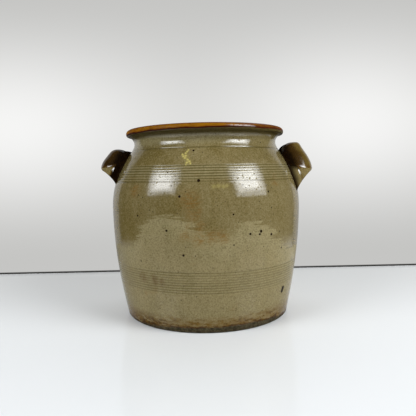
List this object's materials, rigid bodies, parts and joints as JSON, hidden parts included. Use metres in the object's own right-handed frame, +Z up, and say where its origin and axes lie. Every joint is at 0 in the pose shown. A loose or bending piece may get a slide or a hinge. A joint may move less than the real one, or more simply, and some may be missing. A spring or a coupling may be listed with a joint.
{
  "type": "confit pot",
  "caption": "Round stoneware crock with a full belly, a short neck, a rolled lip and pulled ear handles, for keeping preserved food.",
  "frame": {"origin": "centre of the flat base, on the surface that the pot stands on", "axes": "+Z up along the axis of the pot, +X through the middle of the right ear handle"},
  "size_m": [0.2917, 0.258, 0.25],
  "materials": {
    "pot_glaze": "glossy olive ash glaze with iron specks, brown lip and bare grey foot",
    "handle_glaze": "glossy dark brown glaze, pooled olive on the outer faces"
  },
  "bodies": {
    "root": {"pot_body": "pot_glaze", "left_handle": "handle_glaze", "right_handle": "handle_glaze"}
  },
  "joints": []
}
